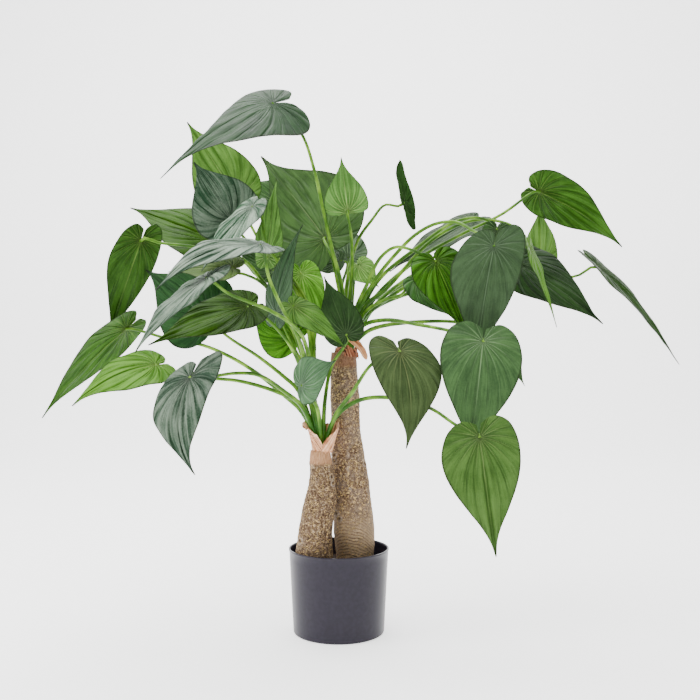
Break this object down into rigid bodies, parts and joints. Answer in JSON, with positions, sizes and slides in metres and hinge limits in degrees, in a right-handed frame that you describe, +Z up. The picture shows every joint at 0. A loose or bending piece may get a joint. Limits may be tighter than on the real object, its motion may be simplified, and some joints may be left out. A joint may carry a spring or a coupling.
{
  "type": "potted chinese taro",
  "caption": "Leafy house plant: a short and a tall bark-covered trunk, each crowned with long stalks and heart-shaped drip-tipped leaves, in a tapered grow pot.",
  "frame": {"origin": "centre of the pot's base, on the floor", "axes": "+Z up along the pot's axis; +X to the right and +Y away from the viewer of the picture"},
  "size_m": [1.1451, 0.7309, 0.9548],
  "materials": {
    "pot_plastic": "satin",
    "potting_soil": "rough",
    "bark": "rough",
    "petiole": "satin",
    "dry_sheath": "matte",
    "leaf_grey": "satin",
    "leaf_light": "satin",
    "leaf_mid": "satin",
    "leaf_dark": "satin",
    "leaf_olive": "satin",
    "leaf_under": "satin",
    "leaf_teal": "satin",
    "leaf_bright": "satin",
    "leaf_bluish": "satin"
  },
  "bodies": {
    "root": {"pot": "pot_plastic", "soil": "potting_soil", "trunk_short": "bark", "trunk_tall": "bark", "petioles_tall": "petiole", "petioles_short": "petiole", "sheath_short": "dry_sheath", "sheath_tall": "dry_sheath", "flap_tall": "dry_sheath", "leaf_01": "leaf_grey", "leaf_02": "leaf_light", "leaf_03": "leaf_dark", "leaf_04": "leaf_olive", "leaf_05": "leaf_grey", "leaf_06": "leaf_grey", "leaf_07": "leaf_grey", "leaf_08": "leaf_under", "leaf_09": "leaf_teal", "leaf_10": "leaf_under", "leaf_11": "leaf_light", "leaf_12": "leaf_mid", "leaf_13": "leaf_bright", "leaf_14": "leaf_grey", "leaf_15": "leaf_teal", "leaf_16": "leaf_mid", "leaf_17": "leaf_under", "leaf_18": "leaf_dark", "leaf_19": "leaf_under", "leaf_20": "leaf_dark", "leaf_21": "leaf_dark", "leaf_22": "leaf_light", "leaf_23": "leaf_teal", "leaf_24": "leaf_dark", "leaf_25": "leaf_bright", "leaf_26": "leaf_dark", "leaf_27": "leaf_bluish", "leaf_28": "leaf_under", "leaf_29": "leaf_dark", "leaf_30": "leaf_light", "leaf_31": "leaf_dark", "leaf_32": "leaf_light", "leaf_33": "leaf_under", "leaf_34": "leaf_light", "leaf_35": "leaf_dark", "leaf_36": "leaf_olive", "leaf_37": "leaf_dark", "leaf_38": "leaf_mid", "leaf_39": "leaf_olive", "leaf_40": "leaf_teal", "leaf_42": "leaf_olive", "leaf_43": "leaf_dark", "leaf_44": "leaf_dark"}
  },
  "joints": []
}
